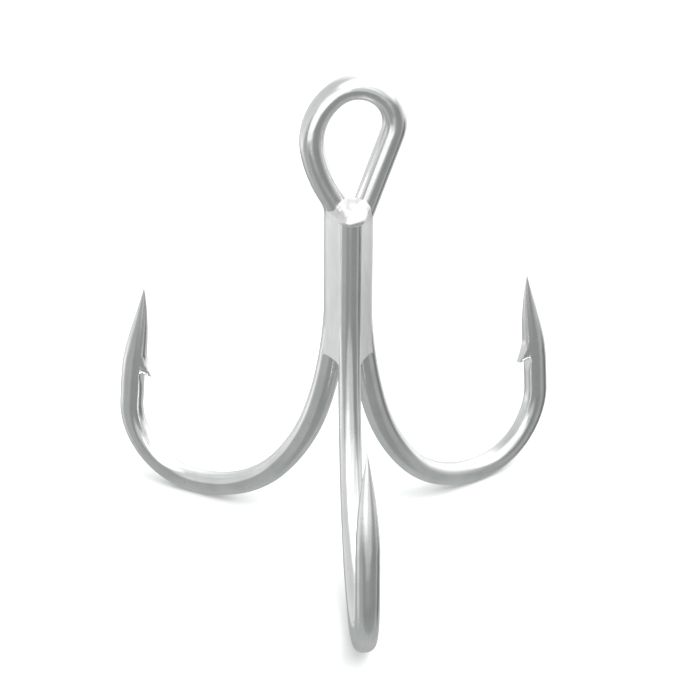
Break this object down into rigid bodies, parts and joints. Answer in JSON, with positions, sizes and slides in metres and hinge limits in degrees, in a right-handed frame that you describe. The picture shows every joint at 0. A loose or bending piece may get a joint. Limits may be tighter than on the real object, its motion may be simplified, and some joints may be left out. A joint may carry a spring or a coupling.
{
  "type": "treble fishing hook",
  "caption": "Treble fishing hook: a double hook with a bent wire eye and a third hook brazed along its shank, with cut barbs and needle points in bright tinned steel.",
  "frame": {"origin": "centre of the eye's opening, in the middle plane of the eye wire, above the shank's axis", "axes": "+Z along the shank from the bends to the eye, +Y through the eye away from the third hook, which points to -Y; the pair of hooks spreads to +X and -X"},
  "size_m": [0.0555, 0.0499, 0.0589],
  "materials": {
    "tinned_steel": "bright tinned high-carbon steel wire with soft drawing marks",
    "braze": "satin silver-grey braze filler, tinned over with the wire"
  },
  "bodies": {
    "root": {"double_hook_wire": "tinned_steel", "single_hook_wire": "tinned_steel", "braze_fillet_left": "braze", "braze_fillet_right": "braze", "braze_fillet_rear": "braze", "braze_core": "braze", "braze_crown_bead": "braze"}
  },
  "joints": []
}
